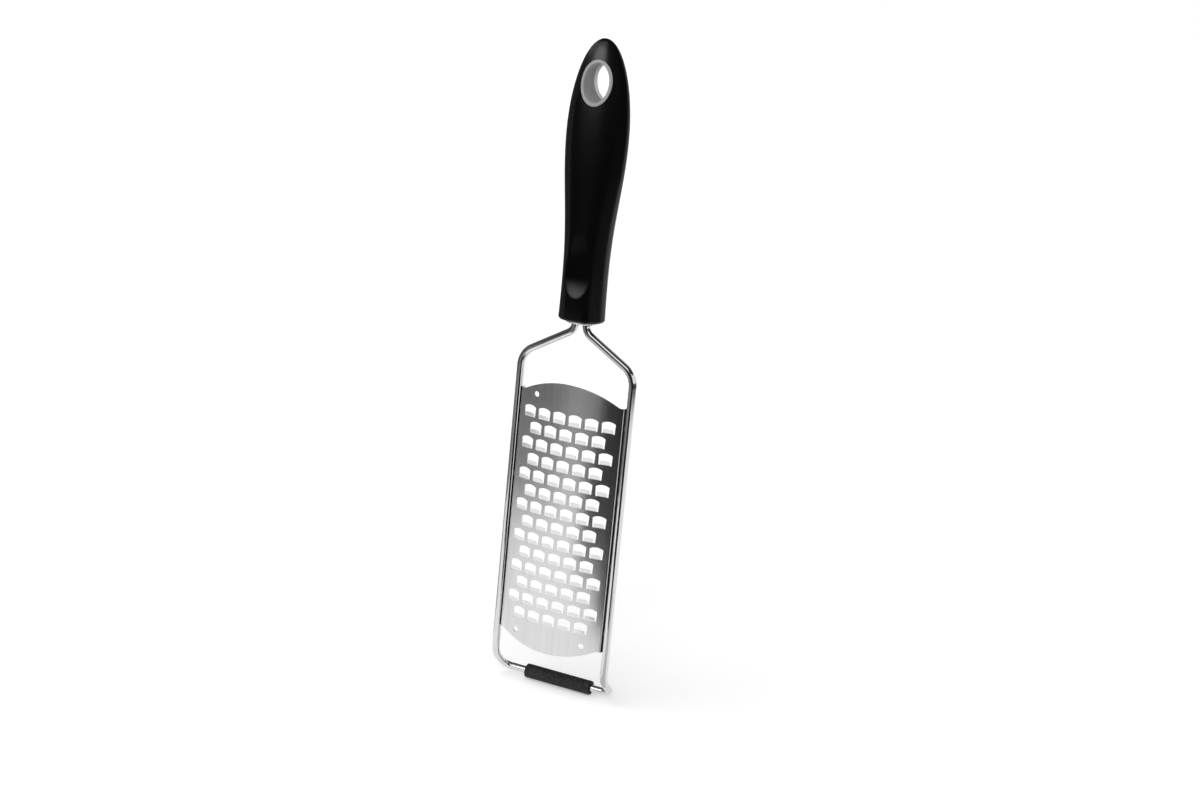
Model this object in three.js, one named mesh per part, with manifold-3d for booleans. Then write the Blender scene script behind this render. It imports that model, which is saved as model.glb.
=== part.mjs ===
import * as THREE from "three";
import { mergeVertices } from "three/addons/utils/BufferGeometryUtils.js";
import Module from "manifold-3d";

const wasm = await Module();
wasm.setup();

// Sizes are in millimetres and angles in degrees.
// X runs across the grater, the cutting face looks along -Y, and +Z runs up to the handle.
// The origin is on the flat underside of the foot sleeve, halfway between the rails.

// Clear space between pieces that pass through or sit inside one another.
const clearance = 0.3;

// The bent wire.
const wire_diameter = 3.5;
const rail_spacing = 57.1;
const rail_length = 142.6;
const shoulder_angle = 30;
const shoulder_bend_radius = 10;
const neck_bend_radius = 6;
const tang_gap = 1.7;
const tang_length = 66;
const kick_angle = 48;
const kick_bend_radius = 7.7;
const leg_length = 12.75;
const foot_corner_radius = 4.8;

// The rubber sleeve on the foot bar.
const sleeve_length = 33.8;
const sleeve_diameter = 6.5;
const sleeve_flat_height = 3.1;
const sleeve_shift = 0.95;

// The crowned blade and its flanges.
const blade_thickness = 0.5;
const blade_shoulder_height = 113.4;
const blade_dome_rise = 6.3;
const blade_dome_setback = 2.2;
const blade_crown_radius = 104;
const blade_forward = 1.6;
const flange_depth = 3.6;
const flange_bend = 0.8;
const blade_lift = 70.3;

// The pattern of windows and tongues.
const window_columns = 6;
const window_rows = 14;
const window_side_margin = 2.5;
const window_end_margin = 6.75;
const window_column_web = 1.6;
const window_row_web = 1.75;
const window_arch_rise = 0.9;
const window_taper = 0.2;
const tongue_slit = 0.65;
const tongue_length = 2.6;
const tongue_bend = 27;
const tongue_edge = 0.15;
const index_hole_diameter = 2.6;
const index_hole_inset = 8.7;
const index_hole_end = 1.2;

// The spot welds between flange and rail.
const weld_count = 4;
const weld_length = 3;
const weld_width = 0.6;
const weld_end = 9;

// The handle.
const handle_length = 124.2;
const handle_end_width = 21;
const handle_waist_width = 20.3;
const handle_waist_height = 18;
const handle_belly_width = 29.4;
const handle_belly_height = 83;
const handle_depth = 17.8;
const handle_nose_height = 55;
const handle_lean = 0.9;
const handle_fullness = 2.25;
const handle_end_round = 1.2;
const grip_wall = 2.3;
const core_tip_wall = 7;
const scoop_foot = 11;
const scoop_height = 19.6;
const scoop_top = 41;
const scoop_depth = 1.9;
const scoop_round = 6;
const scoop_span = 12;
const eyelet_from_tip = 19.1;
const eyelet_width = 15.3;
const eyelet_height = 20.2;
const eyelet_wall = 1.5;
const plug_lip = 1.3;
const plug_height = 4.2;
const plug_round = 0.6;

// Places that follow from the sizes above.
const turn = Math.PI / 180;
const wire_radius = wire_diameter / 2;
const rail_x = rail_spacing / 2;
const tang_x = wire_radius + tang_gap / 2;
const bar_z = sleeve_flat_height;
const rail_y = -leg_length * Math.sin(kick_angle * turn);
const kick_z = bar_z + leg_length * Math.cos(kick_angle * turn);
const shoulder_z = kick_z + rail_length;
const neck_z = shoulder_z + (rail_x - tang_x) * Math.tan(shoulder_angle * turn);
const neck_top_z = neck_z + neck_bend_radius * Math.tan((90 - shoulder_angle) * turn / 2);
const handle_z = neck_top_z + plug_lip;
const handle_top_z = handle_z + handle_length;
const eyelet_z = handle_top_z - eyelet_from_tip;
const blade_z = kick_z + blade_lift;
const flange_x = rail_x - wire_radius - clearance;
const fold_y = rail_y - blade_forward;

// Turns a three.js geometry into a closed solid, with its faces looking outward.
function solid(geometry) {
  const plain = geometry.clone();
  plain.deleteAttribute("normal");
  plain.deleteAttribute("uv");
  const merged = mergeVertices(plain, 1e-4);
  const at = merged.attributes.position;
  const index = merged.index.array;
  const faces = [];
  let volume = 0;
  const corner = [new THREE.Vector3(), new THREE.Vector3(), new THREE.Vector3()];
  for (let i = 0; i < index.length; i += 3) {
    const [a, b, c] = [index[i], index[i + 1], index[i + 2]];
    if (a === b || b === c || c === a) continue;
    [a, b, c].forEach((vertex, k) => corner[k].fromBufferAttribute(at, vertex));
    volume += corner[0].dot(corner[1].clone().cross(corner[2]));
    faces.push([a, b, c]);
  }
  if (volume < 0) faces.forEach((face) => face.reverse());
  const mesh = new wasm.Mesh({
    numProp: 3,
    vertProperties: Float32Array.from(at.array),
    triVerts: Uint32Array.from(faces.flat()),
  });
  return new wasm.Manifold(mesh);
}

function surface(body) {
  const mesh = body.getMesh();
  const geometry = new THREE.BufferGeometry();
  geometry.setAttribute("position", new THREE.BufferAttribute(mesh.vertProperties, 3));
  geometry.setIndex(new THREE.BufferAttribute(mesh.triVerts, 1));
  return geometry;
}

function joined(bodies) {
  return bodies.reduce((sum, body) => sum.add(body));
}

// Outline of an ellipse, or of a regular polygon drawn around a circle.
function oval(half_width, half_height, sides) {
  const points = [];
  for (let i = 0; i < sides; i += 1) {
    const angle = (i + 0.5) * 2 * Math.PI / sides;
    points.push(new THREE.Vector2(half_width * Math.cos(angle), half_height * Math.sin(angle)));
  }
  return points;
}

function round_outline(radius, sides) {
  const reach = radius / Math.cos(Math.PI / sides);
  return oval(reach, reach, sides);
}

// A flat outline in X and Z, extruded through the part along Y from front to back.
function cut_along_y(outline, front, back) {
  const geometry = new THREE.ExtrudeGeometry(outline, { depth: back - front, bevelEnabled: false });
  geometry.rotateX(Math.PI / 2);
  geometry.translate(0, back, 0);
  return geometry;
}

function post(radius, sides, x, y, low, high) {
  const outline = new THREE.Shape(round_outline(radius, sides));
  const geometry = new THREE.ExtrudeGeometry(outline, { depth: high - low, bevelEnabled: false });
  geometry.translate(x, y, low);
  return geometry;
}

// The wire's centre line: straight runs joined by round bends.
class WireRoute extends THREE.Curve {
  constructor(points) {
    super();
    this.points = points;
  }

  getPoint(t, target = new THREE.Vector3()) {
    const place = t * (this.points.length - 1);
    const first = Math.min(Math.floor(place), this.points.length - 2);
    return target.lerpVectors(this.points[first], this.points[first + 1], place - first);
  }

  getUtoTmapping(u) {
    return u;
  }
}

function round_bend(before, corner, after, radius, steps) {
  const inward = before.clone().sub(corner).normalize();
  const onward = after.clone().sub(corner).normalize();
  const half = inward.angleTo(onward) / 2;
  const middle = inward.clone().add(onward).normalize();
  const centre = corner.clone().addScaledVector(middle, radius / Math.sin(half));
  const start = corner.clone().addScaledVector(inward, radius / Math.tan(half)).sub(centre);
  const axis = onward.clone().cross(inward).normalize();
  const points = [];
  for (let i = 0; i <= steps; i += 1) {
    const angle = (Math.PI - 2 * half) * i / steps;
    points.push(start.clone().applyAxisAngle(axis, angle).add(centre));
  }
  return points;
}

function wire_half(side) {
  const tang_top = new THREE.Vector3(side * tang_x, rail_y, handle_z + tang_length);
  const neck = new THREE.Vector3(side * tang_x, rail_y, neck_z);
  const shoulder = new THREE.Vector3(side * rail_x, rail_y, shoulder_z);
  const kick = new THREE.Vector3(side * rail_x, rail_y, kick_z);
  const corner = new THREE.Vector3(side * rail_x, 0, bar_z);
  const middle = new THREE.Vector3(0, 0, bar_z);
  return [
    tang_top,
    ...round_bend(tang_top, neck, shoulder, neck_bend_radius, 5),
    ...round_bend(neck, shoulder, kick, shoulder_bend_radius, 6),
    ...round_bend(shoulder, kick, corner, kick_bend_radius, 4),
    ...round_bend(kick, corner, middle, foot_corner_radius, 7),
  ];
}

function make_wire_frame() {
  const route = new WireRoute([...wire_half(-1), ...wire_half(1).reverse()]);
  const section = new THREE.Shape(round_outline(wire_radius, 16));
  return new THREE.ExtrudeGeometry(section, {
    steps: route.points.length - 1,
    extrudePath: route,
    bevelEnabled: false,
  });
}

// The sleeve: a round rubber tube with a flat along its underside.
function make_foot_sleeve() {
  const outer = sleeve_diameter / 2;
  const flat = Math.acos(Math.min(sleeve_flat_height / outer, 0.99));
  const outline = new THREE.Shape();
  outline.absarc(0, 0, outer, -Math.PI / 2 + flat, 1.5 * Math.PI - flat, false);
  outline.closePath();
  outline.holes.push(new THREE.Path(round_outline(wire_radius + clearance, 16)));
  const geometry = new THREE.ExtrudeGeometry(outline, {
    depth: sleeve_length,
    bevelEnabled: false,
    curveSegments: 14,
  });
  geometry.rotateX(Math.PI / 2);
  geometry.rotateZ(Math.PI / 2);
  geometry.translate(sleeve_shift - sleeve_length / 2, 0, bar_z);
  return geometry;
}

// The blade's front surface is part of a cylinder that bulges toward the food.
const fold_angle = Math.asin((flange_x - flange_bend) / blade_crown_radius);
const crown_y = fold_y - blade_crown_radius * (1 - Math.cos(fold_angle));
const centre_y = crown_y + blade_crown_radius;

// Window pitch and size follow from the blade's width and height.
const half_arc = blade_crown_radius * fold_angle;
const column_pitch = (2 * (half_arc - window_side_margin) + window_column_web) / window_columns;
const row_pitch = (blade_shoulder_height - 2 * window_end_margin + window_row_web) / window_rows;
const window_width = column_pitch - window_column_web;
const window_height = row_pitch - window_row_web;

function crown_point(angle, radius) {
  return new THREE.Vector2(radius * Math.sin(angle), centre_y - radius * Math.cos(angle));
}

// Half of the blade's section: the crowned sheet, the fold and the flange.
function section_edge(depth, side) {
  const radius = blade_crown_radius - depth;
  const strips = Math.floor(half_arc / column_pitch);
  const edge = [];
  for (let i = 1; i <= strips; i += 1) {
    edge.push(crown_point(side * i * column_pitch / blade_crown_radius, radius));
  }
  const wall = side * (flange_x - depth);
  const last = crown_point(side * fold_angle, radius);
  const bend = new THREE.QuadraticBezierCurve(
    last,
    new THREE.Vector2(wall, last.y + depth * 0.2),
    new THREE.Vector2(wall, fold_y + flange_bend + depth * 0.5),
  );
  edge.push(...bend.getPoints(3));
  edge.push(new THREE.Vector2(wall, fold_y + flange_depth));
  return edge;
}

function sheet_section() {
  const front = [...section_edge(0, -1).reverse(), crown_point(0, blade_crown_radius)];
  front.push(...section_edge(0, 1));
  const back = [...section_edge(blade_thickness, 1).reverse()];
  back.push(crown_point(0, blade_crown_radius - blade_thickness));
  back.push(...section_edge(blade_thickness, -1));
  return new THREE.Shape([...front, ...back]);
}

// The blade's outline: straight sides, short flat shoulders and a dome at each end.
function blade_outline() {
  const half = blade_shoulder_height / 2;
  const chord = flange_x - blade_dome_setback;
  const radius = (chord * chord + blade_dome_rise * blade_dome_rise) / (2 * blade_dome_rise);
  const reach = Math.asin(chord / radius);
  const centre = half + blade_dome_rise - radius;
  const outline = new THREE.Shape();
  outline.moveTo(flange_x + 1, -half);
  outline.lineTo(flange_x + 1, half);
  outline.absarc(0, centre, radius, Math.PI / 2 - reach, Math.PI / 2 + reach, false);
  outline.lineTo(-flange_x - 1, half);
  outline.lineTo(-flange_x - 1, -half);
  outline.absarc(0, -centre, radius, 1.5 * Math.PI - reach, 1.5 * Math.PI + reach, false);
  outline.closePath();
  return outline;
}

function window_outline() {
  const half = window_width / 2;
  const low = -window_height / 2;
  const spring = window_height / 2 - window_arch_rise;
  const radius = (half * half + window_arch_rise * window_arch_rise) / (2 * window_arch_rise);
  const reach = Math.asin(half / radius);
  const outline = new THREE.Shape();
  outline.moveTo(-half + window_taper, low);
  outline.lineTo(half - window_taper, low);
  outline.absarc(0, window_height / 2 - radius, radius, Math.PI / 2 - reach, Math.PI / 2 + reach, false);
  outline.closePath();
  return outline;
}

// A tongue: rooted in the window's lower edge, arched at its tip, thinned to a cutting edge.
function make_tongue() {
  const half = window_width / 2 - window_taper - tongue_slit;
  const root = 0.2;
  const rise = window_arch_rise * 0.8;
  const outline = new THREE.Shape();
  outline.moveTo(-half, -root);
  outline.lineTo(half, -root);
  outline.lineTo(half, tongue_length - rise);
  outline.quadraticCurveTo(0, tongue_length + rise, -half, tongue_length - rise);
  outline.closePath();
  const geometry = new THREE.ExtrudeGeometry(outline, {
    depth: blade_thickness,
    bevelEnabled: false,
    curveSegments: 3,
  });
  geometry.translate(0, 0, -blade_thickness);
  const at = geometry.attributes.position;
  for (let i = 0; i < at.count; i += 1) {
    const along = THREE.MathUtils.clamp(at.getY(i) / tongue_length, 0, 1);
    const thickness = THREE.MathUtils.lerp(blade_thickness, tongue_edge, along);
    if (at.getZ(i) < -blade_thickness / 2) at.setZ(i, -thickness);
  }
  geometry.translate(0, 0, blade_thickness / 2);
  geometry.rotateX(tongue_bend * turn);
  geometry.translate(0, -window_height / 2, -blade_thickness / 2);
  return geometry;
}

// Stands a flat pattern piece on the crowned front at an arc length and a height.
function onto_blade(geometry, arc, height) {
  const angle = arc / blade_crown_radius;
  const place = crown_point(angle, blade_crown_radius);
  const across = new THREE.Vector3(Math.cos(angle), Math.sin(angle), 0);
  const outward = new THREE.Vector3(Math.sin(angle), -Math.cos(angle), 0);
  const frame = new THREE.Matrix4().makeBasis(across, new THREE.Vector3(0, 0, 1), outward);
  frame.setPosition(place.x, place.y, blade_z + height);
  return geometry.clone().applyMatrix4(frame);
}

function make_blade() {
  const depth = blade_shoulder_height + 2 * blade_dome_rise + 2;
  const sheet = new THREE.ExtrudeGeometry(sheet_section(), { depth, bevelEnabled: false });
  sheet.translate(0, 0, blade_z - depth / 2);
  const trim = cut_along_y(blade_outline(), crown_y - 2, fold_y + flange_depth + 2);
  trim.translate(0, 0, blade_z);
  const window_cut = new THREE.ExtrudeGeometry(window_outline(), {
    depth: 4,
    bevelEnabled: false,
    curveSegments: 2,
  });
  window_cut.translate(0, 0, -2);
  const tongue = make_tongue();
  const cuts = [];
  const tongues = [];
  for (let row = 0; row < window_rows; row += 1) {
    const height = row_pitch * ((window_rows - 1) / 2 - row);
    const count = window_columns - row % 2;
    for (let column = 0; column < count; column += 1) {
      const arc = column_pitch * (column - (count - 1) / 2);
      cuts.push(solid(onto_blade(window_cut, arc, height)));
      tongues.push(solid(onto_blade(tongue, arc, height)));
    }
  }
  const index_cut = new THREE.ExtrudeGeometry(
    new THREE.Shape(round_outline(index_hole_diameter / 2, 12)),
    { depth: 4, bevelEnabled: false },
  );
  index_cut.translate(0, 0, -2);
  const index_arc = half_arc - index_hole_inset;
  const index_height = blade_shoulder_height / 2 - index_hole_end;
  [[-1, 1], [-1, -1], [1, -1]].forEach(([side, end]) => {
    cuts.push(solid(onto_blade(index_cut, side * index_arc, end * index_height)));
  });
  const plate = solid(sheet).intersect(solid(trim));
  return surface(plate.subtract(joined(cuts)).add(joined(tongues)));
}

// A spot weld fills the clearance between the flange's outer face and the rail.
function make_weld(side, number) {
  const geometry = new THREE.BoxGeometry(clearance, weld_width, weld_length);
  const span = blade_shoulder_height - 2 * weld_end;
  const height = blade_z + span * (number / (weld_count - 1) - 0.5);
  geometry.translate(side * (flange_x + clearance / 2), rail_y, height);
  return geometry;
}

// Half width and half depth of the handle at a height above its lower end.
function handle_half_width(height) {
  const end = handle_end_width / 2;
  const waist = handle_waist_width / 2;
  const belly = handle_belly_width / 2;
  if (height < handle_waist_height) return waist + (end - waist) * (1 - height / handle_waist_height) ** 2;
  if (height > handle_belly_height) {
    const toward_tip = (height - handle_belly_height) / (handle_length - handle_belly_height);
    return belly * Math.sqrt(Math.max(1 - toward_tip * toward_tip, 0));
  }
  const share = (height - handle_waist_height) / (handle_belly_height - handle_waist_height);
  return waist + (belly - waist) * (1 - Math.cos(Math.PI * share ** 1.15)) / 2;
}

function handle_half_depth(height) {
  const toward_tip = (height - handle_nose_height) / (handle_length - handle_nose_height);
  if (toward_tip < 0) return handle_depth / 2;
  return handle_depth / 2 * Math.sqrt(Math.max(1 - toward_tip * toward_tip, 0));
}

function handle_centre_y(height) {
  return rail_y - height * Math.tan(handle_lean * turn);
}

// A loft through oval sections: heights above the handle's lower end, with an inset at each.
function handle_loft(heights, inset, around) {
  const profile = heights.map((height, i) => new THREE.Vector2(1, i));
  profile.unshift(new THREE.Vector2(0, 0));
  profile.push(new THREE.Vector2(0, heights.length - 1));
  const geometry = new THREE.LatheGeometry(profile, around);
  const at = geometry.attributes.position;
  const full = (share) => Math.sign(share) * Math.abs(share) ** (2 / handle_fullness);
  for (let i = 0; i < at.count; i += 1) {
    const height = heights[Math.round(at.getY(i))];
    const section = Math.max(height, 0);
    const half_width = Math.max(handle_half_width(section) - inset(height), 0.3);
    const half_depth = Math.max(handle_half_depth(section) - inset(height), 0.3);
    const y = handle_centre_y(section) + half_depth * full(at.getZ(i));
    at.setXYZ(i, half_width * full(at.getX(i)), y, handle_z + height);
  }
  return geometry;
}

function spread(low, high, steps) {
  return Array.from({ length: steps + 1 }, (unused, i) => low + (high - low) * i / steps);
}

// Heights for the outer skin: close together at the rounded lower end and toward the tip.
function skin_heights() {
  const rounding = [0, 0.12, 0.4, 0.75].map((share) => share * handle_end_round);
  const body = spread(handle_end_round, handle_belly_height, 10);
  const nose = spread(0, 88, 10).slice(1).map((angle) => {
    return handle_belly_height + (handle_length - handle_belly_height) * Math.sin(angle * turn);
  });
  return [...rounding, ...body, ...nose];
}

function end_rounding(height) {
  const short = Math.max(handle_end_round - height, 0);
  return handle_end_round - Math.sqrt(handle_end_round * handle_end_round - short * short);
}

function handle_skin() {
  return solid(handle_loft(skin_heights(), end_rounding, 30));
}

// The space inside the grip, drawn in by an extra amount for what fills it.
function handle_inside(low, drawn_in) {
  const heights = [...spread(low, handle_belly_height, 9)];
  heights.push(...spread(handle_belly_height, handle_length - core_tip_wall - drawn_in, 6).slice(1));
  return solid(handle_loft(heights, () => grip_wall + drawn_in, 20));
}

function eyelet_cut(grow) {
  const outline = new THREE.Shape(oval(eyelet_width / 2 + grow, eyelet_height / 2 + grow, 28));
  const geometry = cut_along_y(outline, rail_y - 2 * handle_depth, rail_y + 2 * handle_depth);
  geometry.translate(0, 0, eyelet_z);
  return solid(geometry);
}

// An oval bar in front of the grip, whose back runs from the skin at one height to the deepest place of the scoop.
function scoop_bar(edge_height) {
  const skin = (height) => handle_centre_y(height) - handle_half_depth(height);
  const deepest = skin(scoop_height) + scoop_depth;
  const slope = (deepest - skin(edge_height)) / (scoop_height - edge_height);
  const geometry = new THREE.CylinderGeometry(1, 1, 3 * (scoop_top - scoop_foot), 48);
  geometry.rotateX(Math.PI / 2);
  geometry.scale(scoop_span, scoop_round, 1);
  geometry.applyMatrix4(new THREE.Matrix4().makeShear(0, 0, 0, 0, 0, slope));
  geometry.translate(0, deepest - scoop_round, handle_z + scoop_height);
  return solid(geometry);
}

// The thumb scoop is a steep ramp at its foot and a long, gentle one above: what two slanting bars share.
function scoop_cut() {
  return scoop_bar(scoop_foot).intersect(scoop_bar(scoop_top));
}

function make_grip() {
  const shell = handle_skin().subtract(handle_inside(-1, 0));
  return surface(shell.subtract(eyelet_cut(clearance)).subtract(scoop_cut()));
}

// The core fills the grip, comes to the surface as the eyelet's rim, and takes the two tangs.
function make_handle_core() {
  const floor = plug_height - plug_lip + clearance;
  const rim = eyelet_cut(0).intersect(handle_skin());
  const body = handle_inside(floor, clearance).add(rim).subtract(eyelet_cut(-eyelet_wall));
  const top = handle_z + tang_length + clearance;
  const sockets = [-1, 1].map((side) => {
    return solid(post(wire_radius + clearance, 16, side * tang_x, rail_y, handle_z, top));
  });
  return surface(body.subtract(joined(sockets)));
}

// The plug closes the grip's lower end and is pierced for the tangs.
function make_end_plug() {
  const inset = grip_wall + clearance + plug_round;
  const half_width = handle_half_width(handle_waist_height) - inset;
  const half_depth = handle_depth / 2 - inset;
  const outline = new THREE.Shape(oval(half_width, half_depth, 20));
  const geometry = new THREE.ExtrudeGeometry(outline, {
    depth: plug_height - 2 * plug_round,
    bevelThickness: plug_round,
    bevelSize: plug_round,
    bevelSegments: 2,
  });
  geometry.translate(0, rail_y, neck_top_z + plug_round);
  const holes = [-1, 1].map((side) => {
    const low = neck_top_z - 1;
    return solid(post(wire_radius + clearance, 16, side * tang_x, rail_y, low, low + plug_height + 2));
  });
  return surface(solid(geometry).subtract(joined(holes)));
}

const brushed_steel = { color: 0xb4b7ba, roughness: 0.32, metalness: 1 };
const polished_steel = { color: 0xd2d4d6, roughness: 0.12, metalness: 1 };
const grey_plastic = { color: 0x7d7f81, roughness: 0.5, metalness: 0 };
const black_grip = { color: 0x0b0b0c, roughness: 0.55, metalness: 0 };
const black_rubber = { color: 0x222223, roughness: 0.7, metalness: 0 };
const weld_metal = { color: 0x9a9c9e, roughness: 0.45, metalness: 1 };

const grater = new THREE.Group();
grater.name = "coarse_grater";

function place(name, geometry, finish) {
  const mesh = new THREE.Mesh(geometry, new THREE.MeshStandardMaterial(finish));
  mesh.name = name;
  grater.add(mesh);
}

place("blade", make_blade(), brushed_steel);
place("wire_frame", make_wire_frame(), polished_steel);
place("handle_core", make_handle_core(), grey_plastic);
place("grip", make_grip(), black_grip);
place("end_plug", make_end_plug(), polished_steel);
place("foot_sleeve", make_foot_sleeve(), black_rubber);
for (let number = 0; number < weld_count; number += 1) {
  place(`weld_left_${number + 1}`, make_weld(-1, number), weld_metal);
  place(`weld_right_${number + 1}`, make_weld(1, number), weld_metal);
}

export default grater;
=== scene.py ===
# %% [markdown]
# # A coarse grater
#
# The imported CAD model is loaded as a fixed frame, and each of its plain solids is replaced by a
# finer piece that sits in exactly the same place: a punched and rolled blade, a bent wire, a
# moulded handle and a rubber foot. Nothing on this tool moves, so every piece rides on the one
# body, "root".

# %% Load the frame
import math

import bmesh
import bpy
from mathutils import Matrix, Vector


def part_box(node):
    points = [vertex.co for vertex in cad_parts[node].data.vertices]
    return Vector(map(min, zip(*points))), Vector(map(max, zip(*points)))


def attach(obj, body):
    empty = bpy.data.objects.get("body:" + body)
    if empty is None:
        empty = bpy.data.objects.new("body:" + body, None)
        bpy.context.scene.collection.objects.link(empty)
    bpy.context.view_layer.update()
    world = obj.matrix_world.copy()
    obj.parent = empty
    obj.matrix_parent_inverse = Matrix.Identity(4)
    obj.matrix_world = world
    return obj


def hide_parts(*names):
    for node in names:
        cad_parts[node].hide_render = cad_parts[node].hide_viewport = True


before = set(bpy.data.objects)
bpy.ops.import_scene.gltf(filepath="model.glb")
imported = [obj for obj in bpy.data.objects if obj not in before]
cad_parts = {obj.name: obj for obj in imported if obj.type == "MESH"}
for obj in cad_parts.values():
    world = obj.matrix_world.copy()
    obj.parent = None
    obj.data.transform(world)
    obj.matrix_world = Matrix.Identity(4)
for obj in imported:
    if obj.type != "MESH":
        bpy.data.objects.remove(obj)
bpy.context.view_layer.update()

# %% [markdown]
# ## The camera
#
# The picture was taken from the front right and a little above, with a long lens and the tool
# leaning a few degrees across the frame. The camera's three axes are worked out from those
# angles, so that no helper object is needed.

# %% Place the camera
scene = bpy.context.scene
view_azimuth, view_elevation, view_roll = (math.radians(angle) for angle in (27.42, 13.16, 5.58))
toward_right = Vector((math.cos(view_azimuth), math.sin(view_azimuth), 0))
toward_camera = Vector((
    math.sin(view_azimuth) * math.cos(view_elevation),
    -math.cos(view_azimuth) * math.cos(view_elevation),
    math.sin(view_elevation),
))
toward_top = toward_camera.cross(toward_right)
camera_right = toward_right * math.cos(view_roll) + toward_top * math.sin(view_roll)
camera_up = toward_top * math.cos(view_roll) - toward_right * math.sin(view_roll)

camera = bpy.data.objects.new("camera", bpy.data.cameras.new("camera"))
camera.data.lens = 70.18
camera.data.sensor_width = 36
camera.matrix_world = Matrix((camera_right, camera_up, toward_camera)).transposed().to_4x4()
camera.location = (0.4779, -0.9055, 0.3761)
scene.collection.objects.link(camera)
scene.camera = camera
print("camera at", [round(value, 3) for value in camera.location])

# %% [markdown]
# ## Nodes written as sums
#
# A finish is a small tree of shader nodes. Two helpers keep the trees readable: `Nodes.add` makes
# any node with its settings and inputs, and `Value` lets one output be added, multiplied or
# limited like a number.

# %% Helpers for shader nodes
class Value:
    """A node's output. Arithmetic on it adds Math nodes."""

    def __init__(self, nodes, socket):
        self.nodes = nodes
        self.socket = socket

    def reckon(self, operation, first, second):
        return self.nodes.add("ShaderNodeMath", {"operation": operation}, {0: first, 1: second})

    def __add__(self, other):
        return self.reckon("ADD", self, other)

    def __sub__(self, other):
        return self.reckon("SUBTRACT", self, other)

    def __rsub__(self, other):
        return self.reckon("SUBTRACT", other, self)

    def __mul__(self, other):
        return self.reckon("MULTIPLY", self, other)

    def at_least(self, other):
        return self.reckon("MAXIMUM", self, other)

    def at_most(self, other):
        return self.reckon("MINIMUM", self, other)

    __radd__ = __add__
    __rmul__ = __mul__


class Nodes:
    """A node tree that is written one node at a time."""

    def __init__(self, tree):
        self.tree = tree

    def feed(self, socket, value):
        if isinstance(value, Value):
            self.tree.links.new(value.socket, socket)
        else:
            socket.default_value = value

    def add(self, kind, settings=None, inputs=None, output=0):
        made = self.tree.nodes.new(kind)
        for name, value in (settings or {}).items():
            setattr(made, name, value)
        for name, value in (inputs or {}).items():
            self.feed(made.inputs[name], value)
        return Value(self, made.outputs[output]) if made.outputs else None

    def noise(self, scale, detail):
        """Noise on Object coordinates; scale is in features per metre along X, Y and Z."""
        place = self.add("ShaderNodeTexCoord", output="Object")
        stretched = self.add("ShaderNodeMapping", None, {"Vector": place, "Scale": scale})
        inputs = {"Vector": stretched, "Scale": 1.0, "Detail": detail, "Roughness": 0.55}
        return self.add("ShaderNodeTexNoise", None, inputs)

    def colour_between(self, share, first, second):
        """A mix of two colours, each three numbers or a node's output."""
        first, second = (
            colour if isinstance(colour, Value) else (*colour, 1) for colour in (first, second)
        )
        inputs = {0: share, 6: first, 7: second}
        return self.add("ShaderNodeMix", {"data_type": "RGBA"}, inputs, output=2)

    def bump(self, height, distance, strength):
        inputs = {"Height": height, "Distance": distance, "Strength": strength}
        return self.add("ShaderNodeBump", None, inputs)


def new_finish(name, **constants):
    """A material, its nodes and its shader's sockets, with the constant values set on them."""
    material = bpy.data.materials.new(name)
    material.use_nodes = True
    shader = material.node_tree.nodes["Principled BSDF"]
    for socket, value in constants.items():
        shader.inputs[socket.replace("_", " ")].default_value = value
    return material, Nodes(material.node_tree), shader.inputs


print("node helpers ready")

# %% [markdown]
# ## Brushed blade steel
#
# The blade is stainless sheet, brushed along its length. A picture of brushed metal would repeat,
# and blur up close, so noise makes it. Brushing leaves fine lines that run up the blade and stay
# the same for many millimetres, so the noise is stretched along Z. The lines change the roughness
# and tilt the surface a little; broader bands change the brightness. The cutting tongues are
# ground bright. The flanges' outer faces, in the narrow gap beside the rails, are painted near
# black as painted shade. The blade's mesh carries an attribute for each of the two.

# %% Finish: brushed blade
blade_finish, nodes, sockets = new_finish("brushed_blade", Metallic=1.0)
fine_lines = nodes.noise((5200, 5200, 45), 4)
broad_bands = nodes.noise((420, 420, 5), 2)
ground_edge = nodes.add("ShaderNodeAttribute", {"attribute_name": "ground_edge"}, output="Fac")
# mask for the painted shade in the gap between each flange and its rail
painted_gap_shade = nodes.add("ShaderNodeAttribute", {"attribute_name": "painted_gap_shade"}, output="Fac")
lines_and_bands = fine_lines * 0.6 + broad_bands * 0.4
brushed_steel = nodes.colour_between(lines_and_bands, (0.515, 0.52, 0.525), (0.885, 0.885, 0.89))
ground_steel = nodes.colour_between(fine_lines, (0.68, 0.68, 0.685), (0.84, 0.84, 0.84))
sheet_steel = nodes.colour_between(ground_edge, brushed_steel, ground_steel)
# painted shade: the flange's outer face in the gap beside the rail is painted near black
gap_shaded_steel = nodes.colour_between(painted_gap_shade, sheet_steel, (0.006, 0.006, 0.006))
nodes.feed(sockets["Base Color"], gap_shaded_steel)
nodes.feed(sockets["Roughness"], 0.16 + fine_lines * 0.12 + painted_gap_shade * 0.2)
nodes.feed(sockets["Normal"], nodes.bump(fine_lines, 0.00002, 0.35))
print("made", blade_finish.name)

# %% [markdown]
# ## Polished wire, weld metal, plastics and rubber
#
# The wire and the end plug are polished, so they mirror the studio, and only faint drawing lines
# show. A weld is duller and a little browned by heat. The grip is soft-touch black with a fine
# moulded grain, the eyelet's core is satin grey, and the foot's rubber is charcoal with a
# mottled, dusty skin. Each could be one flat colour, but no real surface is that even, so each
# has noise of its own scale in its colour, its roughness and its relief.

# %% Finish: polished wire
wire_finish, nodes, sockets = new_finish("polished_wire", Metallic=1.0)
drawing_lines = nodes.noise((900, 900, 120), 3)
drawn_steel = nodes.colour_between(drawing_lines, (0.62, 0.625, 0.63), (0.78, 0.785, 0.79))
nodes.feed(sockets["Base Color"], drawn_steel)
nodes.feed(sockets["Roughness"], 0.07 + drawing_lines * 0.09)
nodes.feed(sockets["Normal"], nodes.bump(drawing_lines, 0.00001, 0.3))
print("made", wire_finish.name)

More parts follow.
